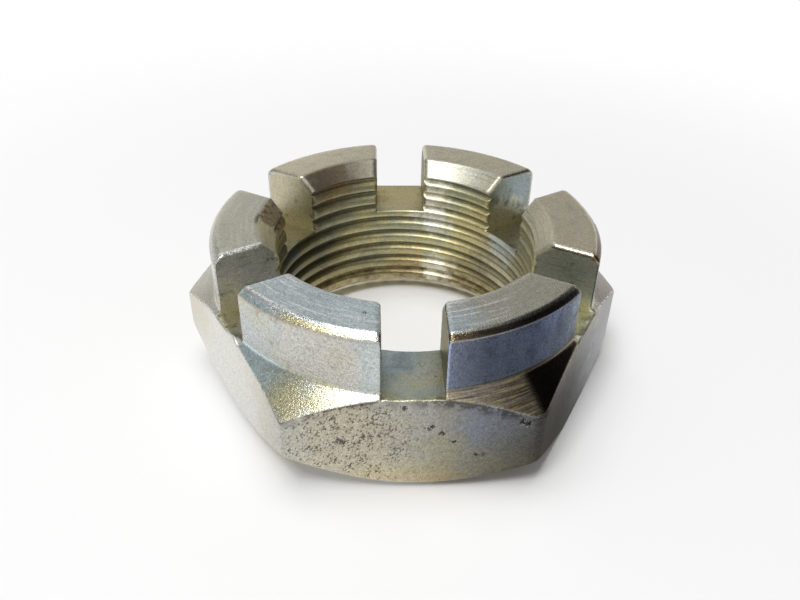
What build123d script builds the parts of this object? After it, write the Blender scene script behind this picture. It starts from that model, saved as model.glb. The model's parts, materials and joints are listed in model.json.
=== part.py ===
from build123d import *
import os
from math import cos, radians, sqrt, tan

# Castle nut for a split pin: one piece of steel, turned and milled from hexagon bar.
#
# It stands on its bearing face. The origin is the middle of that face, +Z runs along the thread
# out of the crown, and two corners of the hexagon lie on the X axis. Millimetres throughout.

# Hexagon
flat_count = 6
across_flats = 34.0
height = 14.8  # bearing face to the top of the crown
flat_height = 9.45  # bearing face to the top of a flat, at the middle of the flat

# Thread, M24 x 1.5. The bore is left plain at the thread's minor diameter.
thread_diameter = 24.0
thread_pitch = 1.5
top_countersink_margin = 0.55  # the mouth of the countersink stands this far outside the thread
bottom_countersink_margin = 0.75
countersink_slope = 45  # degrees, between the cone and the end face

# Turned faces
shoulder_slope = 40  # degrees, fall of the shoulder from the crown to the corners
bearing_diameter = 32.0
bearing_slope = 38  # degrees, rise of the chamfer round the bearing face
crown_diameter = 33.4
crown_foot_radius = 0.5
crown_edge_width = 0.55  # chamfer round the top of the crown, measured on the top face
crown_edge_height = 0.45

# Slots, milled through the middle of each flat for the split pin
slot_width = 4.7
slot_depth = 5.55  # from the top of the crown
prong_edge_radius = 0.35

# Worked out from the sizes above
flat_radius = across_flats / 2
corner_radius = flat_radius / cos(radians(180 / flat_count))
blank_radius = corner_radius + 0.5  # the turned profile reaches just past the corners
crown_radius = crown_diameter / 2
bearing_radius = bearing_diameter / 2
minor_diameter = thread_diameter - thread_pitch * 5 * sqrt(3) / 8
bore_radius = minor_diameter / 2
top_countersink_radius = thread_diameter / 2 + top_countersink_margin
bottom_countersink_radius = thread_diameter / 2 + bottom_countersink_margin
top_countersink_depth = (top_countersink_radius - bore_radius) * tan(radians(countersink_slope))
bottom_countersink_depth = (bottom_countersink_radius - bore_radius) * tan(radians(countersink_slope))
slot_floor = height - slot_depth


def shoulder_at(radius):
    """Height of the shoulder cone at a radius."""
    return flat_height - (radius - flat_radius) * tan(radians(shoulder_slope))


def bearing_chamfer_at(radius):
    """Height of the chamfer round the bearing face at a radius."""
    return (radius - bearing_radius) * tan(radians(bearing_slope))


def axis_distance(shape):
    """Distance from the thread's axis to the middle of an edge."""
    middle = shape.center()
    return sqrt(middle.X**2 + middle.Y**2)


with BuildPart() as castle_nut:
    # Hexagon bar, cut to length
    with BuildSketch(Plane.XY):
        RegularPolygon(flat_radius, flat_count, major_radius=False)
    extrude(amount=height)

    # Everything the lathe leaves: bearing face, shoulder, crown, countersinks and bore. The two
    # cones cut the flats in the arched edges that are typical of a chamfered hexagon.
    with BuildSketch(Plane.XZ) as turned:
        with BuildLine():
            Polyline(
                (bore_radius, bottom_countersink_depth),
                (bottom_countersink_radius, 0),
                (bearing_radius, 0),
                (blank_radius, bearing_chamfer_at(blank_radius)),
                (blank_radius, shoulder_at(blank_radius)),
                (crown_radius, shoulder_at(crown_radius)),
                (crown_radius, height - crown_edge_height),
                (crown_radius - crown_edge_width, height),
                (top_countersink_radius, height),
                (bore_radius, height - top_countersink_depth),
                close=True,
            )
        make_face()
        crown_foot = turned.vertices().sort_by_distance((crown_radius, shoulder_at(crown_radius)))[0]
        fillet(crown_foot, crown_foot_radius)
    revolve(axis=Axis.Z, mode=Mode.INTERSECT)

    # Slots through the flats, which leave one prong over each corner
    with BuildSketch(Plane.XY.offset(height)):
        with PolarLocations(0, flat_count, start_angle=180 / flat_count):
            Rectangle(blank_radius, slot_width, align=(Align.MIN, Align.CENTER))
    extrude(amount=-slot_depth, mode=Mode.SUBTRACT)

    # Tumbling in the plating barrel rounds the prongs' edges along the slots, from the thread over
    # the top of the crown. The edges down the side of the crown stay sharp.
    slot_edges = castle_nut.edges(Select.LAST).filter_by(GeomType.CIRCLE, reverse=True)
    prong_edges = slot_edges.filter_by(
        lambda edge: edge.center().Z > slot_floor + prong_edge_radius
        and axis_distance(edge) < crown_radius - crown_edge_width / 4
    )
    fillet(prong_edges, prong_edge_radius)

castle_nut.part.label = "castle_nut"

os.makedirs("parts", exist_ok=True)
export_step(castle_nut.part, "parts/castle_nut.step")
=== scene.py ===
"""Castle nut for a split pin: the threaded nut with its worn zinc plate, on a plain studio floor."""

import json
from math import cos, pi, radians, sin, sqrt, tan

import bmesh
import bpy
import numpy as np
from mathutils import Matrix, Vector


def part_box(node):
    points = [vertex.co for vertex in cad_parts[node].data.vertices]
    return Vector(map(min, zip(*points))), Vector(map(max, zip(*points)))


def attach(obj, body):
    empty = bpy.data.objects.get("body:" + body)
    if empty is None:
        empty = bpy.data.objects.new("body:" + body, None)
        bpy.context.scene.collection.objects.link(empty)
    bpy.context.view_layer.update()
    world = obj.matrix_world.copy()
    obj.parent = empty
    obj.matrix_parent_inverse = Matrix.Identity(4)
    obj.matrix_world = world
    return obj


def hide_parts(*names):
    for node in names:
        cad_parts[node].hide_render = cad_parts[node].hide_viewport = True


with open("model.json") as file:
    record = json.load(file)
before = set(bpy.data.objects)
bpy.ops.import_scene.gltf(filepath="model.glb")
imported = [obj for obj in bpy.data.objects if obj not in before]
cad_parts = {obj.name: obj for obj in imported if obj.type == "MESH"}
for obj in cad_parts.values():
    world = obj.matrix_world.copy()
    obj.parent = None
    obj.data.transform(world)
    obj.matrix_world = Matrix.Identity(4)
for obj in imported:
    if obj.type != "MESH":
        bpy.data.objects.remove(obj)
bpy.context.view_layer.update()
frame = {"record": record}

bl_info = {
    "name": "Castle nut",
    "version": (1, 0, 0),
    "blender": (4, 5, 0),
    "location": "View3D > Sidebar > Castle nut",
    "description": "Makes a castle nut with a cut thread and a worn zinc plate",
    "category": "Add Mesh",
}

MM = 0.001
WHITE = (1, 1, 1, 1)
NODE = "castle_nut"
BODY = "root"
FLAT_COUNT = 6
SECTOR = 2 * pi / FLAT_COUNT
node_low, node_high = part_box(NODE)
thread_mount = next(mount for mount in frame["record"]["mounts"] if mount["name"] == "thread")


# ---- sizes and colours


def length(name, description, default):
    return bpy.props.FloatProperty(
        name=name, description=description, default=default, min=0, unit="LENGTH", precision=5
    )


def angle(name, description, default):
    """An angle, whose default is given in degrees."""
    return bpy.props.FloatProperty(
        name=name, description=description, default=radians(default), subtype="ANGLE"
    )


def power(name, description, default):
    return bpy.props.FloatProperty(
        name=name, description=description, default=default, min=0, unit="POWER", precision=3
    )


def tone(name, description, default):
    """An opaque colour."""
    return bpy.props.FloatVectorProperty(
        name=name, description=description, default=(*default, 1), size=4, min=0, max=1, subtype="COLOR"
    )


class NutSizes(bpy.types.PropertyGroup):
    """Sizes of the nut"""

    across_flats: length("Across flats", "Flat to opposite flat", node_high.y - node_low.y)
    height: length("Height", "Bearing face to the top of the crown", node_high.z - node_low.z)
    flat_height: length("Flat height", "Bearing face to the top of a flat, at its middle", 9.45 * MM)
    minor_radius: length("Minor radius", "Axis to the thread's crests", thread_mount["dims"]["r_mm"] * MM)
    pitch: length("Pitch", "Distance between neighbouring crests of the thread", 1.5 * MM)
    top_countersink_radius: length("Top countersink radius", "Its mouth in the crown", 12.55 * MM)
    bottom_countersink_radius: length("Bottom countersink radius", "Its mouth below", 12.75 * MM)
    shoulder_slope: angle("Shoulder slope", "Fall of the shoulder from the crown to the corners", 40)
    bearing_radius: length("Bearing radius", "Outside of the flat bearing face", 16.3 * MM)
    bearing_slope: angle("Bearing slope", "Rise of the chamfer round the bearing face", 44)
    bearing_offset: length("Bearing offset", "How far the chamfer is turned off centre, along X", 0.95 * MM)
    crown_radius: length("Crown radius", "Outside of the crown", 16.7 * MM)
    crown_edge_width: length("Crown edge width", "Chamfer round the crown, on its top face", 0.6 * MM)
    crown_edge_height: length("Crown edge height", "Chamfer round the crown, on its side", 0.55 * MM)
    slot_width: length("Slot width", "Width of each slot for the split pin", 4.7 * MM)
    slot_depth: length("Slot depth", "Slot floor below the top of the crown", 5.55 * MM)
    prong_edge_radius: length("Prong edge radius", "Rounding of the prongs along the slots", 0.35 * MM)


class PlateColours(bpy.types.PropertyGroup):
    """Colours of the zinc plate, its film and its dirt"""

    zinc: tone("Zinc", "Plain plate", (0.52, 0.51, 0.46))
    # This colour is also laid as painted light on the slots' walls beside the left and right prongs
    pale_zinc: tone("Pale zinc", "Plate with almost no film", (0.64, 0.63, 0.58))
    yellow: tone("Yellow film", "Thick passivation film", (0.62, 0.54, 0.25))
    green: tone("Green film", "Film inside the slots and the bore", (0.33, 0.36, 0.28))
    blue: tone("Blue film", "Thin film", (0.41, 0.50, 0.56))
    pale_blue: tone("Pale blue film", "Thin film on the front left shoulder", (0.55, 0.67, 0.69))
    violet: tone("Violet film", "Film on the crown's side", (0.46, 0.53, 0.72))
    # Also lighter than the film alone would be, as painted light on the crown's side at the front right
    deep_blue: tone("Deep blue film", "Thicker film on the crown's side", (0.47, 0.60, 0.93))
    orange: tone("Orange film", "Thick film low on the flats", (0.66, 0.48, 0.29))
    tan: tone("Tan film", "Film on the crown's top", (0.56, 0.50, 0.36))
    olive: tone("Olive film", "Darker film on the crown's top", (0.42, 0.41, 0.33))
    # Besides burnt film, this colour is also laid as painted shade on the crown's edge and shoulder at the
    # front right, and as a painted shadow on the back slot's floor
    brown: tone("Brown film", "Burnt film at edges", (0.26, 0.17, 0.09))
    # Besides dirt, this colour is also laid as painted shade on the crown's edge and the shoulder at the
    # front right
    grime: tone("Grime", "Dirt in pits and roots", (0.05, 0.04, 0.028))
    # Besides burrs and rubbed metal, this colour is also laid as painted glints along edges, a painted
    # highlight down the bore and painted light on the slots' walls
    bright_metal: tone("Bright metal", "Burrs and rubbed ridges", (0.86, 0.86, 0.83))


class StudioSettings(bpy.types.PropertyGroup):
    """Floor, lamps and camera"""

    floor: tone("Floor", "The floor's colour", (0.86, 0.86, 0.86))
    fill: tone("Fill", "Even light from all round", (0.32, 0.32, 0.32))
    floor_reach: length("Floor reach", "From the nut to the middle of the floor's edge", 1.5)
    tent_radius: length("Tent radius", "White cloth over the nut", 0.6)
    sheet_radius: length("Sheet radius", "Table sheet under the nut", 0.25)
    lamp_distance: length("Lamp distance", "Lamps to the middle of the nut", 0.5)
    softbox_size: length("Softbox size", "Side of the lamp above the front left", 0.15)
    softbox_power: power("Softbox power", "Lamp above the front left, in watts", 1.15)
    overhead_size: length("Overhead size", "Side of the lamp straight above", 0.3)
    overhead_power: power("Overhead power", "Lamp straight above, in watts", 1.1)
    target_height: length("Target height", "What the camera looks at, above the floor", 6.8 * MM)
    camera_distance: length("Camera distance", "Camera to the middle of the nut", 72.14 * MM)
    camera_elevation: angle("Camera elevation", "Above the floor", 34.68)
    camera_azimuth: angle("Camera azimuth", "Round the nut, from straight in front", -3.0175)
    camera_roll: angle("Camera roll", "Tilt about the camera's own axis", 1.4012)
    camera_shift: bpy.props.FloatVectorProperty(
        name="Camera shift",
        description="Shift of the view to the right and up, as a share of its width",
        default=(-0.0049, -0.0053),
        size=2,
    )
    camera_lens: bpy.props.FloatProperty(
        name="Camera lens",
        description="Focal length on a 36 mm sensor",
        default=35.25,
        min=1,
        subtype="DISTANCE_CAMERA",
    )


# ---- mesh of the nut


def smooth_step(value, start, end):
    t = np.clip((np.asarray(value, float) - start) / (end - start), 0, 1)
    return t * t * (3 - 2 * t)


def fillet_drop(distance, radius):
    """How far a rounded edge has fallen away, at a distance from the wall that it meets."""
    inside = np.clip(radius - distance, 0, radius)
    return radius - np.sqrt(radius**2 - inside**2)


def divided(start, end, parts):
    """Points from start towards end, without the last one."""
    steps = np.arange(parts)[:, None] / parts
    return start + (end - start) * steps


def rounded_path(corners, arc_parts):
    """Points of a path through corners of (point, rounding, parts up to the next corner)."""
    points = []
    leave = [corners[0][0]]
    arrive = []
    for (before, _, _), (corner, rounding, _), (after, _, _) in zip(corners, corners[1:], corners[2:]):
        back, ahead = before - corner, after - corner
        back_length, ahead_length = np.linalg.norm(back), np.linalg.norm(ahead)
        turn = pi - np.arccos(np.clip(back @ ahead / (back_length * ahead_length), -1, 1))
        reach = min(rounding * tan(turn / 2), 0.45 * back_length, 0.45 * ahead_length)
        arrive.append(corner + back / back_length * reach)
        leave.append(corner + ahead / ahead_length * reach)
    arrive.append(corners[-1][0])
    t = np.arange(arc_parts)[:, None] / arc_parts
    for index, (corner, rounding, parts) in enumerate(corners[:-1]):
        if rounding:
            start, end = arrive[index - 1], leave[index]
            points.append((1 - t) ** 2 * start + 2 * t * (1 - t) * corner + t**2 * end)
        points.append(divided(leave[index], arrive[index], parts))
    points.append(arrive[-1][None, :])
    return np.concatenate(points)


def heading(angle):
    """Unit vector in plan at an angle from the X axis."""
    return np.array((cos(angle), sin(angle)))


def left_of(angle):
    """Unit vector in plan a quarter turn anticlockwise from that heading."""
    return np.array((-sin(angle), cos(angle)))


class PlanLine:
    """A straight cut across the ring, seen from above: its direction and its distance from the axis."""

    def __init__(self, direction, offset, flat_direction, corner_direction=None):
        self.direction = direction
        self.offset = offset
        self.flat_direction = flat_direction
        self.corner_direction = corner_direction
        self.along = heading(direction)
        self.across = left_of(direction)

    @property
    def on_prong(self):
        return self.corner_direction is not None

    def reach(self, radius):
        """Distance along the line at which it is this far from the axis."""
        return np.sqrt(np.maximum(np.square(radius) - self.offset**2, 0))

    def turned(self, radius):
        """Angle round the axis at that radius."""
        return self.direction + np.arcsin(self.offset / radius)

    def flat_reach(self, flat_radius, corner_rounding):
        """Distance along the line to the hexagon, whose corners are rounded."""
        normal = heading(self.flat_direction)
        reach = (flat_radius - self.offset * (self.across @ normal)) / (self.along @ normal)
        if not self.on_prong:
            return reach
        to_corner = heading(self.corner_direction)
        centre = to_corner * (flat_radius - corner_rounding) / cos(SECTOR / 2)
        point = self.along * reach + self.across * self.offset
        towards_corner = to_corner - normal * (to_corner @ normal)
        if (point - centre) @ towards_corner <= 0:
            return reach
        middle = self.along @ centre
        rest = self.offset**2 - 2 * self.offset * (self.across @ centre) + centre @ centre
        return middle + sqrt(middle**2 - rest + corner_rounding**2)


def plan_lines(half_slot, prong_parts=24, slot_parts=12):
    """Lines right round the nut, closer together at the slots' walls and at the corners."""
    t = np.linspace(0, 1, prong_parts + 1)
    close = t**3 * (10 - 15 * t + 6 * t * t)
    lines = []
    for sector in range(FLAT_COUNT):
        corner, flat = sector * SECTOR, (sector + 0.5) * SECTOR
        for share in close:
            lines.append(PlanLine(corner + share * SECTOR / 2, -half_slot * share, flat, corner))
        for step in range(slot_parts + 1):
            lines.append(PlanLine(flat, half_slot * (2 * step / slot_parts - 1), flat))
        corner += SECTOR
        for share in close[::-1]:
            lines.append(PlanLine(corner - share * SECTOR / 2, half_slot * share, flat, corner))
    return lines


class NutShape:
    """Turns the nut's sizes into points of its sections."""

    finishes = ("turned", "barstock", "milled", "thread")
    # Parts of a pitch, and how far the surface has fallen from the crest to the root there
    thread_profile = (
        (-0.27, 0.20), (-0.22, 0.08), (-0.16, 0.025), (-0.08, 0.004), (0.0, 0.0),
        (0.08, 0.004), (0.16, 0.025), (0.22, 0.08), (0.27, 0.20), (0.32, 0.42), (0.37, 0.68),
        (0.42, 0.90), (0.47, 0.99), (0.53, 0.99), (0.58, 0.90), (0.63, 0.68), (0.68, 0.42),
    )
    thread_start = 0.95  # share of a pitch from the bearing face to the first crest, on the X axis
    thread_depth = 0.46 * MM
    spare_turns = 3  # of thread past each end, before it is cut to length
    edge = 0.08 * MM  # the small bevels at the countersinks' mouths and the slots' floors
    flat_join = 0.5 * MM  # below the arched edge, where the rows of a flat change
    arc = 4  # rows of a rounded corner of a section
    # Rows of the other stretches of a section
    rows = {
        "bearing_face": 4,
        "bearing_chamfer": 3,
        "flat": 11,
        "flat_top": 2,
        "shoulder": 7,
        "crown": 9,
        "crown_edge": 2,
        "crown_top": 9,
        "slot_floor": 10,
    }
    bearing_rounding = 0.3 * MM  # between the bearing face and its chamfer
    chamfer_rounding = 0.9 * MM  # between the chamfer and a flat
    arch_rounding = 0.16 * MM  # between a flat and the shoulder, and more at the corners
    crown_foot = 0.5 * MM  # between the shoulder and the crown
    floor_rounding = 0.25 * MM  # of a slot floor's outer edge
    crown_roundings = (0.9 * MM, 0.35 * MM)  # of the crown's edge, behind and in front
    upright_roundings = (0.45 * MM, 0.12 * MM)  # of the prongs' outer edges, behind and in front
    upright_zone = (15.2 * MM, 15.9 * MM)  # radii over which that rounding comes in
    # Burrs along the outer edges of the slot floors, by slot, anticlockwise from the first after the
    # X axis: (distance from the middle of the slot, height, half width)
    burrs = {
        3: ((1.3 * MM, 0.45 * MM, 0.5 * MM), (0.4 * MM, 0.12 * MM, 0.3 * MM)),
        4: (
            (-1.9 * MM, 0.06 * MM, 0.3 * MM),
            (0.2 * MM, 0.05 * MM, 0.3 * MM),
            (1.7 * MM, 0.07 * MM, 0.2 * MM),
        ),
        5: ((-1.6 * MM, 0.2 * MM, 0.3 * MM), (0.9 * MM, 0.12 * MM, 0.4 * MM)),
    }
    # One cut, front to back, climbs a little: how far its floors rise at the outer edge and at the bore
    floor_rises = {1: (0.33 * MM, 0.33 * MM), 4: (0.0, 0.3 * MM)}
    # Rounding of the hexagon's corners, anticlockwise from the X axis
    corner_roundings = (1.1 * MM, 0.5 * MM, 0.5 * MM, 0.9 * MM, 0.4 * MM, 1.4 * MM)

    def __init__(self, sizes):
        self.sizes = sizes
        self.flat_radius = sizes.across_flats / 2
        self.slot_floor = sizes.height - sizes.slot_depth
        self.half_slot = sizes.slot_width / 2

    def corner_rounding(self, line):
        if not line.on_prong:
            return 0
        return self.corner_roundings[round(line.corner_direction / SECTOR) % FLAT_COUNT]

    def shoulder_at(self, radius):
        return self.sizes.flat_height - (radius - self.flat_radius) * tan(self.sizes.shoulder_slope)

    def bearing_chamfer_at(self, x, y):
        radius = sqrt((x - self.sizes.bearing_offset) ** 2 + y**2)
        return (radius - self.sizes.bearing_radius) * tan(self.sizes.bearing_slope)

    def countersink_at(self, z):
        """Radius of whichever countersink is wider at this height; both are 45 degree cones."""
        top = self.sizes.top_countersink_radius - (self.sizes.height - z)
        bottom = self.sizes.bottom_countersink_radius - z
        return np.maximum(top, bottom)

    def thread_at(self, z, turned):
        """Radius of the thread alone, at a height and an angle round the axis."""
        phase = z / self.sizes.pitch - self.thread_start - turned / (2 * pi)
        first = self.thread_profile[0][0]
        phase = (phase - first) % 1 + first
        phases = [p for p, _ in self.thread_profile] + [first + 1]
        depths = [d for _, d in self.thread_profile] + [self.thread_profile[0][1]]
        return self.sizes.minor_radius + self.thread_depth * np.interp(phase, phases, depths)

    def floor_at(self, direction):
        """Heights of the floor of the slot in this direction, at its outer edge and at the bore."""
        outer, inner = self.floor_rises.get(int(direction % (2 * pi) / SECTOR), (0.0, 0.0))
        return self.slot_floor + outer, self.slot_floor + inner

    def burr_at(self, line):
        """Height of the burr that the cutter left along the outer edge of a slot's floor."""
        height = 0.0
        for middle, peak, half_width in self.burrs.get(int(line.flat_direction / SECTOR), ()):
            height += peak * np.exp(-(((line.offset - middle) / half_width) ** 2))
        return height

    def bore_path(self, line, top):
        """Rows of the bore from top down to the bearing face, along the thread."""
        pitch = self.sizes.pitch
        turns = int(np.ceil(self.sizes.height / pitch)) + self.spare_turns
        phases, depths = np.array(self.thread_profile).T
        phase = (np.arange(-self.spare_turns, turns)[:, None] + phases[None, :]).ravel()
        radius = self.sizes.minor_radius + self.thread_depth * np.tile(depths, turns + self.spare_turns)
        z = pitch * (self.thread_start + phase + line.turned(radius) / (2 * pi))
        buried = radius - self.countersink_at(z)
        for i in np.flatnonzero(buried < 0):
            for j in (i + 1, i - 1):
                if 0 <= j < len(z) and buried[j] > 0:
                    share = buried[i] / (buried[i] - buried[j])
                    z[i] += share * (z[j] - z[i])
                    radius[i] += share * (radius[j] - radius[i])
                    break
        low = self.edge
        for limit, out in ((top, z > top), (low, z < low)):
            z[out] = limit
            for _ in range(2):
                radius[out] = self.thread_at(limit, line.turned(radius[out]))
        radius = np.maximum(radius, self.countersink_at(z))
        return np.column_stack((line.reach(radius), z))[::-1]

    def section(self, line):
        """Closed outline in (distance along the line, height), and the finish of each stretch of it."""
        sizes, reach, rows, arc = self.sizes, line.reach, self.rows, self.arc
        flat = line.flat_reach(self.flat_radius, self.corner_rounding(line))
        flat_edge = sqrt(flat**2 + line.offset**2)
        # The chamfer is off centre, so on one side it only just touches the middle of a flat
        x, y = line.along * flat + line.across * line.offset
        off_centre = sizes.bearing_offset * cos(line.direction)
        bearing_edge = min(reach(sizes.bearing_radius) + off_centre, flat - self.edge)
        chamfer_top = max(self.bearing_chamfer_at(x, y), self.edge)
        start = [
            (reach(sizes.bottom_countersink_radius + self.edge), 0, 0, rows["bearing_face"]),
            (bearing_edge, 0, self.bearing_rounding, rows["bearing_chamfer"]),
            (flat, chamfer_top, self.chamfer_rounding, rows["flat"]),
        ]
        finish = ["turned"] * (rows["bearing_face"] + arc + rows["bearing_chamfer"])
        finish += ["barstock"] * (arc + rows["flat"] + rows["flat_top"] + arc // 2)
        if line.on_prong:
            arch = self.shoulder_at(flat_edge)
            arch_rounding = self.arch_rounding + 0.2 * self.corner_rounding(line)
            in_front = line.corner_direction > 1.1 * pi
            crown_rounding = self.crown_roundings[in_front]
            crown, crown_top = reach(sizes.crown_radius), reach(sizes.crown_radius - sizes.crown_edge_width)
            bore = self.bore_path(line, sizes.height - self.edge)
            rest = [
                (flat, arch - self.flat_join, 0, rows["flat_top"]),
                (flat, arch, arch_rounding, rows["shoulder"]),
                (crown, self.shoulder_at(sizes.crown_radius), self.crown_foot, rows["crown"]),
                (crown, sizes.height - sizes.crown_edge_height, crown_rounding, rows["crown_edge"]),
                (crown_top, sizes.height, crown_rounding, rows["crown_top"]),
                (reach(sizes.top_countersink_radius + self.edge), sizes.height, 0, 0),
            ]
            finish += ["turned"] * (arc // 2 + rows["shoulder"] + arc + rows["crown"])
            finish += ["turned"] * (arc + rows["crown_edge"] + arc + rows["crown_top"])
        else:
            outer_floor, inner_floor = self.floor_at(line.flat_direction)
            bore = self.bore_path(line, inner_floor - self.edge)
            burr = self.burr_at(line)
            join = self.shoulder_at(sqrt(self.flat_radius**2 + self.half_slot**2)) - self.flat_join
            rest = [
                (flat, join, 0, rows["flat_top"]),
                (flat, outer_floor, self.floor_rounding, rows["slot_floor"]),
                (bore[0, 0] + self.edge, inner_floor, 0, 0),
            ]
            finish += ["milled"] * (arc // 2 + rows["slot_floor"])
        corners = [(np.array((s, z)), rounding, parts) for s, z, rounding, parts in start + rest]
        outside = rounded_path(corners, arc)
        if not line.on_prong:
            on_rim = smooth_step(outside[:, 0], flat - 0.5 * MM, flat - 0.25 * MM)
            on_rim = on_rim * smooth_step(outside[:, 1], outer_floor - 0.3 * MM, outer_floor)
            outside[:, 1] += burr * on_rim
        finish += ["thread"] * (len(bore) + 1)
        return outside, bore, finish

    def round_prong_edges(self, line, outside, bore):
        """Eases a prong's section off where it nears the walls of the slots beside it."""
        sizes = self.sizes
        side = 1 if line.direction >= line.corner_direction else -1
        wall = line.corner_direction + side * SECTOR / 2
        across = left_of(wall)
        in_front = sin(wall) < -0.4
        outer_radius = self.upright_roundings[in_front]
        # The left prong is sharper than the others on its side towards the front
        left_prong = abs(line.corner_direction - pi) < 0.1
        top_radius = sizes.prong_edge_radius * (0.5 if left_prong and side > 0 else 1)

        def points_at(path):
            return path[:, :1] * line.along + line.offset * line.across

        def from_wall(path):
            return -side * (points_at(path) @ across) - self.half_slot

        outer_floor, inner_floor = self.floor_at(wall)
        for path, floor, in_bore in ((outside, outer_floor, False), (bore, inner_floor, True)):
            distance = np.maximum(from_wall(path), 0)
            above_floor = smooth_step(path[:, 1], floor, floor + 0.06 * MM)
            drop = fillet_drop(distance, top_radius) * above_floor
            radius = np.sqrt(path[:, 0] ** 2 + line.offset**2)
            if in_bore:
                trimmed = np.maximum(sizes.minor_radius, self.countersink_at(path[:, 1])) + drop
                radius = np.maximum(radius, np.where(above_floor > 0, trimmed, 0))
            else:
                outer = smooth_step(radius, *self.upright_zone)
                radius = radius - outer * above_floor * fillet_drop(distance, outer_radius)
            top = smooth_step(path[:, 1], sizes.height - 2 * MM, sizes.height - 0.6 * MM)
            path[:, 1] -= drop * top
            path[:, 0] = line.reach(radius)

    def mesh_data(self):
        """Vertices, faces and each face's finish; the slots' walls stay open."""
        vertices, faces, finishes = [], [], []
        previous = None
        count = 0
        for line in plan_lines(self.half_slot):
            outside, bore, finish = self.section(line)
            if line.on_prong:
                self.round_prong_edges(line, outside, bore)
            outline = np.concatenate((outside, bore))
            flat_points = outline[:, :1] * line.along + line.offset * line.across
            vertices.append(np.column_stack((flat_points, outline[:, 1])))
            total = len(outline)
            if previous is not None and previous[1] == line.on_prong:
                start = previous[0]
                for i in range(total):
                    j = (i + 1) % total
                    faces.append((start + i, start + j, count + j, count + i))
                    finishes.append(self.finishes.index(finish[i]))
            previous = (count, line.on_prong)
            count += total
        return np.concatenate(vertices), faces, finishes


def make_nut_mesh(sizes, name):
    shape = NutShape(sizes)
    vertices, faces, finishes = shape.mesh_data()
    mesh = bpy.data.meshes.new(name)
    mesh.from_pydata(vertices.tolist(), [], faces)
    mesh.polygons.foreach_set("material_index", finishes)
    shell = bmesh.new()
    shell.from_mesh(mesh)
    weld = 2e-4 * MM
    bmesh.ops.remove_doubles(shell, verts=shell.verts, dist=weld)
    bmesh.ops.dissolve_degenerate(shell, edges=shell.edges, dist=weld)
    open_edges = [edge for edge in shell.edges if edge.is_boundary]
    walls = bmesh.ops.holes_fill(shell, edges=open_edges, sides=0)["faces"]
    for wall in walls:
        wall.material_index = shape.finishes.index("milled")
    bmesh.ops.recalc_face_normals(shell, faces=shell.faces)
    for face in shell.faces:
        face.smooth = True
    shell.to_mesh(mesh)
    shell.free()
    mesh.set_sharp_from_angle(angle=radians(40))
    return mesh


# ---- node building


class Field:
    """A socket whose value changes over a surface, so that shader maths reads as plain expressions."""

    def __init__(self, nodes, socket):
        self.nodes = nodes
        self.socket = socket

    def maths(self, operation, *values):
        return self.nodes.maths_of(operation, *values)

    def __add__(self, other):
        return self.maths("ADD", self, other)

    def __sub__(self, other):
        return self.maths("SUBTRACT", self, other)

    def __rsub__(self, other):
        return self.maths("SUBTRACT", other, self)

    def __mul__(self, other):
        return self.maths("MULTIPLY", self, other)

    def __pow__(self, other):
        return self.maths("POWER", self, other)

    __radd__ = __add__
    __rmul__ = __mul__

    def at_least(self, other):
        return self.maths("MAXIMUM", self, other)

    def at_most(self, other):
        return self.maths("MINIMUM", self, other)

    def rise(self, start, end):
        """0 before start, 1 after end, and smooth between; falls instead where end is below start."""
        if start > end:
            return 1 - self.rise(end, start)
        inputs = {"Value": self, "From Min": start, "From Max": end, "To Min": 0.0, "To Max": 1.0}
        return self.nodes.field("ShaderNodeMapRange", {"interpolation_type": "SMOOTHSTEP"}, inputs, "Result")


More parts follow.
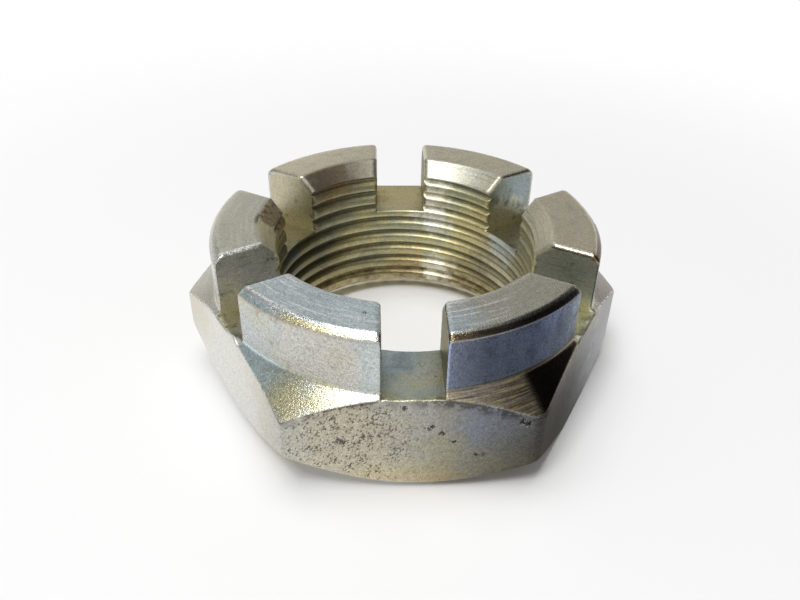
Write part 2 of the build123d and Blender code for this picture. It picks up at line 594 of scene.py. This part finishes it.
class Nodes:
    """The nodes of one material or world."""

    def __init__(self, owner):
        owner.use_nodes = True
        self.owner = owner
        self.tree = owner.node_tree
        self.tree.nodes.clear()

    def node(self, kind, settings=None, inputs=None):
        made = self.tree.nodes.new(kind)
        for name, value in (settings or {}).items():
            setattr(made, name, value)
        for name, value in (inputs or {}).items():
            if isinstance(value, Field):
                self.tree.links.new(value.socket, made.inputs[name])
            else:
                made.inputs[name].default_value = value
        return made

    def field(self, kind, settings=None, inputs=None, output=0):
        return Field(self, self.node(kind, settings, inputs).outputs[output])

    def maths_of(self, operation, *values):
        return self.field("ShaderNodeMath", {"operation": operation}, dict(enumerate(values)))

    def vector_maths(self, operation, *values):
        """Vector maths whose result is a vector."""
        return self.field("ShaderNodeVectorMath", {"operation": operation}, dict(enumerate(values)))

    def measured(self, operation, *values):
        """Vector maths whose result is a number."""
        return self.field("ShaderNodeVectorMath", {"operation": operation}, dict(enumerate(values)), "Value")

    def nearness(self, place, way):
        """1 where the place lies in that direction from the middle, 0 at right angles to it."""
        direction = self.vector_maths("NORMALIZE", place)
        return self.measured("DOT_PRODUCT", direction, Vector(way).normalized())

    def place_in_metres(self):
        return self.field("ShaderNodeTexCoord", output="Object")

    def position(self):
        """Place on the object, in millimetres."""
        inputs = {0: self.place_in_metres(), "Scale": 1 / MM}
        return self.field("ShaderNodeVectorMath", {"operation": "SCALE"}, inputs)

    def parts_of(self, vector):
        apart = self.node("ShaderNodeSeparateXYZ", inputs={0: vector})
        return [Field(self, socket) for socket in apart.outputs]

    def vector(self, x, y, z):
        return self.field("ShaderNodeCombineXYZ", inputs={0: x, 1: y, 2: z})

    def noise(self, vector, per_mm, detail, roughness):
        """Noise between about -0.5 and 0.5."""
        inputs = {"Vector": vector, "Scale": per_mm, "Detail": detail, "Roughness": roughness}
        return self.field("ShaderNodeTexNoise", {"noise_dimensions": "3D"}, inputs, "Fac") - 0.5

    def mixed(self, first, second, share, blend="MIX"):
        inputs = {0: share, 6: first, 7: second}
        return self.field("ShaderNodeMix", {"data_type": "RGBA", "blend_type": blend}, inputs, 2)

    def background_rays(self):
        """1 for what the camera, a reflection or glass sees, and 0 for the light on other things."""
        path = self.node("ShaderNodeLightPath")
        kinds = ("Is Camera Ray", "Is Glossy Ray", "Is Transmission Ray")
        camera, glossy, through = (Field(self, path.outputs[kind]) for kind in kinds)
        return (camera + glossy + through).at_most(1.0)

    def glow(self, strength):
        """White light, whose strength is carried by its colour."""
        return self.field("ShaderNodeEmission", inputs={"Color": self.vector(strength, strength, strength)})

    def output(self, shader, kind="ShaderNodeOutputMaterial"):
        self.node(kind, inputs={"Surface": shader})
        return self.owner


def new_material(name):
    return Nodes(bpy.data.materials.new(name))


# ---- zinc plate


class Plate(Nodes):
    """Zinc plate with a thin passivation film, as it lies on one kind of machined surface."""

    def __init__(self, name, sizes, colours):
        super().__init__(bpy.data.materials.new(name))
        self.colours = colours
        self.place = self.position()
        self.x, self.y, self.z = self.parts_of(self.place)
        self.radius = (self.x * self.x + self.y * self.y) ** 0.5
        self.turn = self.maths_of("ARCTAN2", self.y, self.x)
        self.cloud = self.noise(self.place, 0.22, 3.0, 0.55)
        self.mottle = self.noise(self.place, 1.1, 3.0, 0.6)
        self.speckle = self.noise(self.place, 4.5, 3.0, 0.65)
        self.grain = self.noise(self.place, 10.0, 2.0, 0.6)
        # Angle from the middle of the nearest flat, which is also the middle of a slot
        fold = self.maths_of("FLOORED_MODULO", self.turn, SECTOR) - SECTOR / 2
        flat_radius = sizes.across_flats / MM / 2
        self.from_flat = flat_radius - self.radius * self.maths_of("COSINE", fold)
        from_middle = self.maths_of("ABSOLUTE", self.radius * self.maths_of("SINE", fold))
        self.from_wall = from_middle - sizes.slot_width / MM / 2
        shoulder = sizes.flat_height / MM - (self.radius - flat_radius) * tan(sizes.shoulder_slope)
        self.above_shoulder = self.z - shoulder

    def lathe_lines(self, per_mm=4.0, per_turn=2.5):
        """Marks that run round the axis."""
        along = self.vector(self.radius, self.turn * (per_turn / per_mm), self.z)
        return self.noise(along, per_mm, 3.0, 0.65)

    def distance_from(self, middle):
        return self.measured("DISTANCE", self.place, middle)

    def patch(self, middle, inner, outer, wander=1.5):
        """1 in a ragged patch round a point, 0 outside it; sizes in millimetres."""
        return (self.distance_from(middle) + self.mottle * (3 * wander)).rise(outer, inner)

    def nick(self, middle, half_width):
        """1 in a small ragged dent, 0 outside it; sizes in millimetres."""
        ragged = self.distance_from(middle) + (self.speckle + self.grain) * 0.8
        return ragged.rise(half_width, half_width * 0.4)

    def lay(self, name, share):
        """Covers the colour so far with a share of one of the plate's own colours."""
        self.colour = self.mixed(self.colour, tuple(getattr(self.colours, name)), share)

    def tint(self, share, *patches):
        """Lays ragged patches of (middle, inner and outer radius, then colours with their amounts)."""
        for middle, inner, outer, *layers in patches:
            where = self.patch(middle, inner, outer) * share
            for name, amount in zip(layers[::2], layers[1::2]):
                self.lay(name, where * amount)

    def film(self, name, yellow=0.5, blue=0.35):
        """Starts the colour, with clouds of thicker and thinner film."""
        self.colour = tuple(getattr(self.colours, name))
        self.lay("yellow", self.cloud.rise(-0.03, 0.22) * yellow)
        self.lay("blue", self.cloud.rise(-0.02, -0.22) * blue)

    def shade_grain(self, amount=1.0):
        """Makes the colour so far lighter and darker in fine grains."""
        shade = 1.0 + (self.grain * 0.9 + self.speckle * 0.9) * amount
        self.colour = self.mixed(self.colour, self.vector(shade, shade, shade), 1.0, "MULTIPLY")

    def finished(self, roughness, height, depth, edge_tint=WHITE):
        """The material, with its surface raised by height times depth, in millimetres."""
        bump = {"Strength": 1.0, "Distance": depth * MM, "Height": height}
        inputs = {
            "Base Color": self.colour,
            "Metallic": 1.0,
            "Roughness": roughness,
            "Specular Tint": edge_tint,
            "Normal": self.field("ShaderNodeBump", inputs=bump),
        }
        return self.output(self.field("ShaderNodeBsdfPrincipled", inputs=inputs))


def turned_finish(sizes, colours):
    """Crown, shoulder and bearing face, with the lathe's marks round the axis."""
    plate = Plate("turned", sizes, colours)
    x, y, z, radius = plate.x, plate.y, plate.z, plate.radius
    mottle, speckle, grain = plate.mottle, plate.speckle, plate.grain
    lines = plate.lathe_lines()
    fine = plate.lathe_lines(9.0, 5.0)
    top = sizes.height / MM
    on_top = z.rise(top - 0.25, top - 0.1)
    on_shoulder = plate.above_shoulder.rise(0.3, 0.1)
    on_side = (1 - on_shoulder) * z.rise(top - 0.45, top - 0.6)
    on_edge = (1 - on_shoulder) * (1 - on_side) * (1 - on_top)
    in_shade = plate.patch((12, -12, 12), 7, 10)
    plate.film("zinc")
    plate.tint(
        on_top,
        ((-8, -12, 14.8), 4, 8, "blue", 0.7),
        ((9, -11, 14.8), 4, 8, "olive", 0.8),
        ((2.5, -15, 14.8), 1, 3.5, "blue", 0.8),
        ((-3.5, -14.5, 14.8), 1.5, 4, "pale_blue", 0.5),
        ((-14.5, 0, 14.8), 4, 7, "olive", 0.9),
        ((14.5, 0, 14.8), 4, 7, "tan", 0.9),
        ((7, 13, 14.8), 5, 9, "pale_zinc", 0.4, "tan", 0.5),
        ((-7, 13, 14.8), 5, 9, "tan", 0.9),
        ((7, 13, 14.8), 5, 9, "yellow", 0.2),
    )
    plate.tint(
        on_side,
        ((-5, -16, 12), 2.5, 8, "pale_zinc", 0.8),
        ((-5.5, -15.8, 12.2), 0.5, 1.6, "tan", 0.35),
        ((8, -14.5, 12), 6, 9, "violet", 1.0),
        # Blue film, made lighter in the middle as painted light against the darker reflection there
        ((11, -12.3, 12), 5, 8, "deep_blue", 0.9),
        ((13.5, -9.5, 12), 2.5, 5.5, "grime", 0.65),
        ((-12, -11.5, 12), 1, 4, "blue", 0.35),
    )
    beside_slot = plate.patch((-3.2, -16.4, 12), 2.4, 3.0) * plate.from_wall.rise(1.6, 1.4) * on_side
    plate.lay("pale_blue", beside_slot * 0.4)
    upright = plate.noise(plate.vector(x, y, z * 0.3), 0.9, 3.0, 0.6)
    plate.lay("blue", upright.rise(0.02, 0.16) * on_side * (0.25 - in_shade * 0.2))
    plate.tint(
        on_shoulder,
        ((-13, -12, 8.5), 2.5, 5.5, "pale_blue", 0.9),
        ((-9, -15.5, 8.5), 1, 4.5, "green", 0.6),
        ((-6, -16.8, 8.8), 1, 2.5, "yellow", 0.3),
        ((-9.5, -15.9, 7.9), 0.8, 2.6, "yellow", 0.45),
        ((-18, 0, 8.5), 3, 6, "olive", 1.0, "grime", 0.15),
        ((18, 0, 8.5), 3, 6, "brown", 0.6),
        ((18, -1, 8.5), 3, 6, "grime", 0.55),
    )
    plate.tint(
        on_edge,
        ((-12, -11, 14.5), 2, 5, "pale_blue", 0.9),
        ((-8, -14.5, 14.5), 1, 3, "yellow", 0.5),
        # Brown film and painted dark reflection on the crown's edge from the front right round to the right,
        # darkening to near black
        ((3, -16.3, 14.5), 1, 4.5, "brown", 0.75),
        ((5.5, -15.5, 14.5), 2.5, 5, "grime", 0.45),
        ((12, -11, 14.5), 7.5, 11.5, "grime", 0.9),
        ((16.3, -3, 14.5), 3, 5, "brown", 0.9, "grime", 0.4),
    )
    # A pit, a dark brown stain, and painted glints on the burred lip at a slot and along the crown's edge
    plate.lay("grime", plate.nick((-3.5, -13.7, 14.8), 0.22) * 0.8)
    stain = on_top * plate.patch((-12.4, 0.2, 14.8), 0.4, 1.1, 0.6) * radius.rise(13.1, 12.8)
    plate.lay("brown", stain * 0.6)
    plate.lay("grime", stain * 0.6)
    lip = on_top * plate.from_wall.rise(0.55, 0.4) * plate.patch((-14.5, -3, 14.8), 2.5, 3.5)
    plate.lay("bright_metal", lip * speckle.rise(-0.15, 0.0))
    corner_line = radius.rise(15.85, 15.95) * radius.rise(16.25, 16.1) * z.rise(14.0, 14.2)
    edge_glint = corner_line * plate.patch((-11.5, -11.5, 14.8), 3, 4) * speckle.rise(-0.12, 0.0)
    plate.lay("bright_metal", edge_glint * 0.8)
    # Blotches on the shaded side, green film on the crown behind, and brown film on the front right shoulder
    # that also darkens it as painted shade
    in_front = y.rise(2.0, -8.0)
    stained = in_shade * on_side * (mottle * 0.6 + speckle * 1.5 + upright * 1.1)
    plate.lay("grime", stained.rise(0.05, 0.2) * 0.5)
    plate.lay("pale_blue", stained.rise(-0.03, -0.2) * 0.5)
    rubbed = on_top * mottle.rise(0.02, 0.12) * (1 - in_front)
    plate.lay("green", rubbed * 0.35)
    front_right = on_shoulder * x.rise(1.5, 2.3) * y.rise(-6.0, -9.0)
    plate.lay("brown", front_right * 0.6)
    # Painted shade, darkest in the middle of the front right shoulder
    shoulder_shade = plate.patch((9.0, -15.0, 8.5), 1.0, 5.0, 0.7) * on_shoulder
    plate.lay("grime", shoulder_shade * 0.65)
    # Lathe marks: scored on the front of the crown, coarse and smooth parts on the front right
    scored = (plate.patch((-6.5, -13.3, 14.8), 5, 8) + plate.patch((3.5, -14.5, 14.8), 2, 5)) * on_top
    coarse = front_right * plate.turn.rise(radians(-58.2), radians(-61.2))
    smooth = front_right * (1 - coarse)
    bright_lines = lines.rise(0.04, 0.13) * (0.1 + scored * 0.5) * (1 - smooth * 0.9)
    bright_lines = bright_lines + fine.rise(0.05, 0.16) * scored * 0.6
    dark_lines = lines.rise(-0.04, -0.15) * (0.05 + coarse * 0.3) + fine.rise(-0.03, -0.15) * coarse * 0.5
    plate.lay("bright_metal", bright_lines)
    plate.lay("yellow", fine.rise(0.0, 0.14) * coarse * 0.55)
    plate.lay("grime", dark_lines)
    plate.shade_grain(0.5 + in_front * 0.8)
    plate.lay("grime", mottle.rise(0.08, 0.22) * on_side * 0.25)
    specks = speckle.rise(0.14, 0.22) * (0.1 + on_side * 0.65)
    plate.lay("grime", specks)
    # Edges: burnt in the creases, with painted glints on the burred edge at a slot and along the arched
    # edges
    crease = on_side * z.rise(top - 0.85, top - 0.62) + on_edge * z.rise(top - 0.5, top - 0.62)
    plate.lay("brown", crease * 0.3)
    right_edge = on_top * plate.from_wall.rise(0.5, 0.35) * plate.patch((14.5, -3, 14.8), 2.5, 3.5)
    plate.lay("bright_metal", right_edge * speckle.rise(-0.1, 0.05) * 0.5)
    ridge = plate.from_flat.rise(0.22, 0.05) * speckle.rise(-0.05, 0.1)
    plate.lay("bright_metal", ridge * (0.8 - front_right.at_least(in_shade) * 0.7))
    roughness = 0.25 + grain * 0.2 + specks * 0.2 + coarse * 0.2 - smooth * 0.1
    fleck = (speckle * 1.3 + grain - specks * 0.5) * (0.4 + in_front * 0.6)
    flecked = fleck * (1 - on_shoulder * 0.4) * (1 - in_shade * (0.5 + on_shoulder * 0.4))
    turned = lines * (0.5 - 0.3 * on_side - 0.3 * on_shoulder + coarse * 0.7)
    height = turned + fine * (0.5 + coarse * 1.2 + scored * 0.5) + flecked
    return plate.finished(roughness, height, 0.024)


def barstock_finish(sizes, colours):
    """The six flats, left as drawn, with pits under the plate."""
    plate = Plate("barstock", sizes, colours)
    x, y, z = plate.x, plate.y, plate.z
    mottle, speckle, grain = plate.mottle, plate.speckle, plate.grain
    # The pits lean: they are longer along the drawing marks of the bar
    lean = radians(58)
    drawn = plate.vector(
        (x * cos(lean) + z * sin(lean)) * 0.6,
        z * cos(lean) - x * sin(lean),
        y,
    )
    pits = plate.noise(drawn, 7.5, 2.0, 0.65)
    pitted = plate.patch((-5, -17, 4.8), 3, 9, 2.5)
    marks = plate.patch((6, -17, 4.5), 1, 6, 2.5)
    threshold = 0.215 - pitted * 0.2 - marks * 0.11 - mottle * 0.45
    pit = (pits - threshold).rise(0.0, 0.14)
    plate.film("zinc", 0.35, 0.2)
    plate.tint(
        1.0,
        ((-17, -8, 4), 5, 10, "pale_zinc", 1.0),
        ((-18.5, -2, 8), 1.5, 5, "tan", 0.6),
        ((7, -17, 7.2), 2, 4.8, "blue", 0.3),
        ((6.5, -17, 7.8), 1.6, 4.2, "violet", 0.35),
        ((15, -9, 3.5), 3, 8, "violet", 0.2),
        ((-3, -17, 5.0), 1, 4, "brown", 0.15),
        ((11.5, -14.5, 4.0), 2, 7, "brown", 0.4),
        ((14, -11, 3.0), 3, 8, "grime", 0.15),
        ((18, -2, 8.0), 2, 6, "brown", 0.5),
        ((18.5, -2, 5.5), 3, 7, "violet", 0.3, "grime", 0.4),
        ((14.4, -9, 7.5), 2, 6, "grime", 0.5),
        ((-5, -17, 6.0), 2, 6, "tan", 0.6),
    )
    nicks = plate.nick((1.2, -17, 6.5), 0.24)
    for middle, half_width in (
        ((1.45, -17, 6.6), 0.2),
        ((2.3, -17, 6.0), 0.26),
        ((3.2, -17, 5.1), 0.18),
        ((5.0, -17, 3.7), 0.22),
        ((5.6, -17, 3.75), 0.16),
        ((8.2, -17, 7.1), 0.38),
        ((8.7, -17, 6.85), 0.38),
        ((-5.6, -17, 5.4), 0.28),
        ((-5.2, -17, 5.2), 0.24),
        ((-0.6, -17, 8.6), 0.24),
    ):
        nicks = nicks.at_least(plate.nick(middle, half_width))
    # Thicker film low on the front flat, and darker blots and a broken dark line under its arched edge
    low = z.rise(4.5, 1.0) * y.rise(-15.5, -16.5)
    plate.lay("yellow", low * (0.4 + mottle))
    lowest = z.rise(3.2, 1.2) * y.rise(-15.5, -16.5)
    plate.lay("orange", lowest * (plate.cloud - x * 0.012).rise(-0.1, 0.1) * 0.4)
    right = x.rise(-1.0, 2.0) * y.rise(-15.0, -16.5)
    rim = plate.above_shoulder.rise(-0.30, -0.05) * mottle.rise(-0.15, 0.05)
    below_edge = (plate.above_shoulder + mottle * 1.2).rise(-1.1, -0.3)
    blots = below_edge * (mottle + speckle).rise(-0.12, 0.12)
    front_flat = y.rise(-14.0, -16.5)
    rough = front_flat.at_least(y.rise(0.0, -8.0) * 0.7)
    plate.shade_grain(0.5 + rough * 0.8)
    plate.lay("grime", (rim * 0.6 + blots * (0.35 + right * 0.4)).at_most(0.7) * front_flat)
    plate.lay("grime", (pit * 0.8).at_least(nicks * 0.85))
    roughness = 0.32 + grain * 0.2 + pit * 0.25
    fine = (speckle * 0.9 + grain * 0.7) * (0.3 + rough * 0.7)
    height = fine + mottle * 1.5 - pit * 0.8 - nicks * 2.0
    return plate.finished(roughness, height, 0.024)


def milled_finish(sizes, colours):
    """Floors and walls of the slots."""
    plate = Plate("milled", sizes, colours)
    y, z, radius = plate.y, plate.z, plate.radius
    mottle, speckle, grain = plate.mottle, plate.speckle, plate.grain
    across = plate.noise(plate.vector(radius * 0.12, plate.turn * 0.5, z), 5.0, 2.0, 0.6)
    plate.film("green", 0.3, 0.3)
    plate.tint(
        1.0,
        ((12, 9.5, 13.5), 1, 4, "blue", 0.6),
        ((0, 14, 9.0), 2, 5, "tan", 0.9, "yellow", 0.4),
        # Painted shadow at the left of the back slot's floor
        ((-2.2, 14, 9.2), 0.5, 2.0, "brown", 0.5),
        # Painted light: paler walls beside the left and right prongs, and lighter yellow low on the left
        # prong's wall
        ((-14, -3, 12.5), 3, 6, "pale_zinc", 0.85),
        ((-14.9, -5.9, 9.6), 0.8, 2.2, "yellow", 0.8),
        ((14, -3, 12.5), 3, 6, "pale_zinc", 0.7),
        ((-10.5, 7.7, 9.8), 1.5, 3.5, "pale_zinc", 0.4, "yellow", 0.45),
        ((10.5, 7.5, 9.3), 2, 3.8, "bright_metal", 0.95, "yellow", 0.6),
        ((1.3, -14, 9.3), 0.8, 2.4, "zinc", 0.5),
        ((-0.9, -12.8, 9.3), 0.8, 2.4, "blue", 0.6),
        ((-0.9, -13.0, 9.3), 0.4, 1.8, "grime", 0.35),
        # Painted light: hidden walls made bright, so that the walls facing them look lighter in reflection
        ((-12, -10, 11), 3.5, 5, "bright_metal", 0.9),
        ((11.3, -9.6, 12.8), 3, 4, "bright_metal", 0.8),
        # Painted light, low on the left prong's wall
        ((-14.5, -5.5, 9.5), 1.5, 4.0, "bright_metal", 0.95),
        ((-14.5, -5.5, 10.0), 1, 3, "yellow", 0.5),
        ((2.4, -14, 12.5), 1, 4, "brown", 0.5),
        ((-12, 9.5, 12.5), 2, 6, "tan", 0.8),
    )
    low = z.rise(11.5, 9.3) * mottle.rise(-0.15, 0.1)
    plate.lay("yellow", low * radius.rise(13.5, 15.5) * 0.35)
    plate.shade_grain(0.9)
    plate.lay("grime", mottle.rise(0.1, 0.25) * 0.5)
    towards_front = y.rise(3.0, -1.0)
    plate.lay("blue", across.rise(0.02, 0.15) * towards_front * 0.35)
    plate.lay("grime", across.rise(-0.03, -0.2) * (0.05 + towards_front * 0.25) * (1 - low))
    # Bright burrs and rubbed metal where the floors end
    floor = (sizes.height - sizes.slot_depth) / MM
    on_rim = plate.from_flat.rise(0.8, 0.4)
    burr = on_rim * z.rise(floor + 0.04, floor + 0.12) * z.rise(floor + 0.9, floor + 0.6)
    burr = burr * y.rise(14.0, 12.0)
    low_on_rim = plate.from_flat.rise(0.25, 0.1) * z.rise(floor + 0.1, floor)
    worn = low_on_rim * speckle.rise(-0.02, 0.08)
    plate.lay("bright_metal", (burr + worn * 0.35).at_most(1.0))
    roughness = 0.32 + grain * 0.2
    height = across + grain * 0.9 + speckle * 0.9
    return plate.finished(roughness, height, 0.02, (0.5, 0.48, 0.38, 1))


def thread_finish(sizes, colours):
    """Bore, with thicker film on the thread and dirt in its roots."""
    minor = sizes.minor_radius / MM
    plate = Plate("thread", sizes, colours)
    z = plate.z
    mottle, grain = plate.mottle, plate.grain
    lines = plate.lathe_lines(5.0, 2.0)
    plate.film("yellow", 0.0, 0.0)
    plate.lay("green", plate.cloud.rise(-0.1, 0.1) * 0.5 + 0.2)
    cone = z.rise(13.0, 13.3)
    plate.lay("zinc", cone * 0.7)
    # Darker in the thread's roots
    root = plate.radius.rise(minor + 0.05, minor + 0.4) * (1 - cone) * z.rise(0.9, 1.4)
    plate.lay("grime", root * 0.45)
    plate.tint(
        1.0,
        ((-7, 10, 13.8), 1, 4.5, "brown", 0.65),
        ((12, 0, 14.0), 2, 5, "yellow", 0.35, "olive", 0.5),
        ((-12, 0, 14.0), 2, 5, "yellow", 0.45),
        ((9.9, 5.7, 8.6), 0.8, 2.2, "bright_metal", 0.9, "pale_blue", 0.6),
        ((-10.4, 4.6, 9.6), 0.8, 2.0, "blue", 0.6),
        # Darker on the left of the bore
        ((-10, 3, 4.0), 5, 12, "grime", 0.72),
        ((11, 3, 6.0), 3, 8, "olive", 0.5),
        # Painted highlight: a column of light down the back of the bore
        ((3.6, 10.8, 8.9), 0.8, 2.6, "bright_metal", 0.5),
        ((2.4, 11.2, 11.4), 1.3, 3.2, "bright_metal", 0.75, "yellow", 0.4),
        # Darker low in the bore, on either side of the painted highlight
        ((7.5, 8.6, 3.0), 1.5, 4.5, "grime", 0.55),
        ((-2.0, 11.2, 3.0), 1.0, 3.5, "grime", 0.3),
    )
    # Yellower, browner and darker towards the bottom of the bore
    lowest = z.rise(4.4, 2.4)
    plate.lay("yellow", lowest * 0.6)
    dirt = lowest * (0.35 + mottle * 1.5).at_most(0.6).at_least(0.1)
    plate.lay("brown", dirt)
    plate.lay("grime", dirt)
    plate.tint(
        1.0,
        ((1.0, 11.3, 3.4), 0.6, 2.6, "brown", 0.4),
        # Painted highlight low in the bore
        ((4.0, 10.7, 3.0), 0, 2.4, "bright_metal", 0.8, "yellow", 0.45),
    )
    # Torn metal in the mouth of the bore, on the left
    torn = plate.patch((-11.8, 2.4, 14.1), 1.6, 2.5, 0.6)
    strand = plate.noise(plate.vector(plate.x * 0.4, plate.y, z * 0.25), 5.0, 3.0, 0.7)
    plate.lay("brown", torn * 0.55)
    plate.lay("grime", torn * strand.rise(-0.02, 0.1) * 0.75)
    plate.shade_grain()
    plate.lay("grime", lines.rise(-0.04, -0.18) * 0.3)
    roughness = 0.42 + grain * 0.2 + root * 0.1 + torn * 0.2
    height = lines * 0.9 + grain * 0.7 + plate.speckle * 0.7 + torn * strand * 8.0
    return plate.finished(roughness, height, 0.018)


# ---- stage


def add_camera(context, studio, target):
    data = bpy.data.cameras.new("camera")
    data.lens = studio.camera_lens
    data.sensor_width = 36
    data.shift_x, data.shift_y = studio.camera_shift
    data.clip_start = 0.005
    data.clip_end = 5
    camera = bpy.data.objects.new("camera", data)
    context.scene.collection.objects.link(camera)
    elevation, roll = studio.camera_elevation, studio.camera_roll
    turn = Matrix.Rotation(studio.camera_azimuth, 3, "Z")
    back = turn @ Vector((0, -cos(elevation), sin(elevation)))
    right = turn @ Vector((1, 0, 0))
    up = back.cross(right)
    x_axis = cos(roll) * right + sin(roll) * up
    y_axis = -sin(roll) * right + cos(roll) * up
    pose = Matrix((x_axis, y_axis, back)).transposed().to_4x4()
    pose.translation = target + back * studio.camera_distance
    camera.matrix_world = pose
    return camera


def add_lamp(context, name, energy, size, target, towards_lamp):
    """A square lamp that shines on the target; towards_lamp leads from the target to the lamp."""
    data = bpy.data.lights.new(name, "AREA")
    data.energy = energy
    data.size = size
    lamp = bpy.data.objects.new(name, data)
    lamp.rotation_mode = "QUATERNION"
    lamp.rotation_quaternion = (-towards_lamp).to_track_quat("-Z", "Y")
    lamp.location = target + towards_lamp
    context.scene.collection.objects.link(lamp)
    return lamp


def add_stage_mesh(context, name, build, material):
    mesh = bpy.data.meshes.new(name)
    shell = bmesh.new()
    build(shell)
    shell.to_mesh(mesh)
    shell.free()
    mesh.materials.append(material)
    thing = bpy.data.objects.new(name, mesh)
    context.scene.collection.objects.link(thing)
    return thing


def seen_in_gloss_only(thing):
    thing.visible_camera = False
    thing.visible_diffuse = False
    thing.visible_shadow = False
    thing.visible_transmission = False


def floor_material(colour):
    """Plain floor that turns into the white of the background from 35 to 110 mm from its middle."""
    nodes = new_material("floor")
    near = nodes.field("ShaderNodeBsdfDiffuse", inputs={"Color": colour})
    far = nodes.field("ShaderNodeEmission", inputs={"Color": WHITE, "Strength": 1.0})
    from_nut = nodes.measured("LENGTH", nodes.position())
    share = from_nut.rise(35.0, 110.0) * nodes.background_rays()
    return nodes.output(nodes.field("ShaderNodeMixShader", inputs={0: share, 1: near, 2: far}))


def tent_material():
    """White cloth over the nut, dark at a flag on the right and dimmer in front, behind and on the left."""
    nodes = new_material("light_tent")
    place = nodes.place_in_metres()
    to_flag = nodes.nearness(place, (0.83, -0.05, 0.55))
    flag = 0.8 * to_flag.rise(0.55, 0.88) + 0.19 * to_flag.rise(0.92, 0.95)
    front = nodes.nearness(place, (0.3, -0.5, 0.8)).rise(0.8, 0.97)
    back = nodes.nearness(place, (0.35, 0.72, 0.6)).rise(0.72, 0.98)
    left = nodes.nearness(place, (-0.85, 0.15, 0.6)).rise(0.6, 0.95)
    strength = (1 - flag.at_least(0.6 * front)) * (1 - 0.5 * back) * (1 - 0.6 * left) * 1.05
    return nodes.output(nodes.glow(strength))


def sheet_material():
    """Table sheet round the nut, lit from the left and in shade towards the front right."""
    nodes = new_material("table_sheet")
    level = nodes.vector_maths("MULTIPLY", nodes.place_in_metres(), (1, 1, 0))
    lit = nodes.nearness(level, (-0.95, 0.3, 0)).rise(0.3, 1.0)
    shaded = nodes.nearness(level, (0.7, -0.7, 0)).rise(0.57, 1.02)
    strength = 0.9 + 0.2 * lit - 0.8 * shaded
    return nodes.output(nodes.glow(strength))


def studio_world(fill):
    """Plain even light, and white wherever the camera or a reflection sees past the stage."""
    world = bpy.data.worlds.new("studio")
    nodes = Nodes(world)
    colour = nodes.mixed(fill, WHITE, nodes.background_rays())
    shader = nodes.field("ShaderNodeBackground", inputs={"Color": colour, "Strength": 1.0})
    nodes.output(shader, "ShaderNodeOutputWorld")
    return world


# ---- operators


class CASTLE_NUT_OT_nut(bpy.types.Operator):
    """Make the nut, with its thread, slots and worn edges"""

    bl_idname = "castle_nut.nut"
    bl_label = "Nut"

    def execute(self, context):
        sizes = context.scene.castle_nut_sizes
        mesh = make_nut_mesh(sizes, "nut_body")
        nut = bpy.data.objects.new("nut_body", mesh)
        context.scene.collection.objects.link(nut)
        colours = context.scene.castle_nut_colours
        for finish in (turned_finish, barstock_finish, milled_finish, thread_finish):
            mesh.materials.append(finish(sizes, colours))
        nut.modifiers.new("even_normals", "WEIGHTED_NORMAL").keep_sharp = True
        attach(nut, BODY)
        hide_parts(NODE)
        return {"FINISHED"}


class CASTLE_NUT_OT_stage(bpy.types.Operator):
    """Make the floor, the lamps and the camera"""

    bl_idname = "castle_nut.stage"
    bl_label = "Stage"

    def execute(self, context):
        scene = context.scene
        studio = scene.castle_nut_studio
        target = Vector((0, 0, studio.target_height))
        scene.camera = add_camera(context, studio, target)
        add_stage_mesh(
            context,
            "floor",
            lambda shell: bmesh.ops.create_grid(shell, size=studio.floor_reach),
            floor_material(tuple(studio.floor)),
        )
        tent = add_stage_mesh(
            context,
            "light_tent",
            lambda shell: bmesh.ops.create_uvsphere(
                shell, u_segments=64, v_segments=32, radius=studio.tent_radius
            ),
            tent_material(),
        )
        sheet = add_stage_mesh(
            context,
            "table_sheet",
            lambda shell: bmesh.ops.create_circle(
                shell, cap_ends=True, segments=64, radius=studio.sheet_radius
            ),
            sheet_material(),
        )
        # Just above the floor, so that the two never share a plane
        sheet.location.z = 0.01 * MM
        for thing in (tent, sheet):
            seen_in_gloss_only(thing)
        front_left = Vector((-0.25, -0.37, 0.90)).normalized() * studio.lamp_distance
        above = Vector((-0.1, 0.05, 1.0)).normalized() * studio.lamp_distance
        add_lamp(context, "softbox", studio.softbox_power, studio.softbox_size, target, front_left)
        overhead = add_lamp(
            context, "overhead", studio.overhead_power, studio.overhead_size, target, above
        )
        # Bare metal shows lamps as reflections only, so this one lights the floor alone
        overhead.visible_glossy = False
        scene.world = studio_world(tuple(studio.fill))
        scene.view_settings.view_transform = "Standard"
        return {"FINISHED"}


class CASTLE_NUT_PT_panel(bpy.types.Panel):
    """Buttons and settings of the castle nut"""

    bl_idname = "CASTLE_NUT_PT_panel"
    bl_label = "Castle nut"
    bl_space_type = "VIEW_3D"
    bl_region_type = "UI"
    bl_category = "Castle nut"

    def draw(self, context):
        column = self.layout.column(align=True)
        for operator in (CASTLE_NUT_OT_nut, CASTLE_NUT_OT_stage):
            column.operator(operator.bl_idname)
        for name, group in groups.items():
            settings = getattr(context.scene, name)
            box = self.layout.column(align=True)
            for prop in group.__annotations__:
                box.prop(settings, prop)


groups = {
    "castle_nut_sizes": NutSizes,
    "castle_nut_colours": PlateColours,
    "castle_nut_studio": StudioSettings,
}
classes = (*groups.values(), CASTLE_NUT_OT_nut, CASTLE_NUT_OT_stage, CASTLE_NUT_PT_panel)


def register():
    for cls in classes:
        bpy.utils.register_class(cls)
    for name, group in groups.items():
        setattr(bpy.types.Scene, name, bpy.props.PointerProperty(type=group))


def unregister():
    for name in groups:
        delattr(bpy.types.Scene, name)
    for cls in reversed(classes):
        bpy.utils.unregister_class(cls)


def main():
    register()
    bpy.ops.castle_nut.nut()
    bpy.ops.castle_nut.stage()
    bpy.context.view_layer.update()


if __name__ == "__main__":
    main()
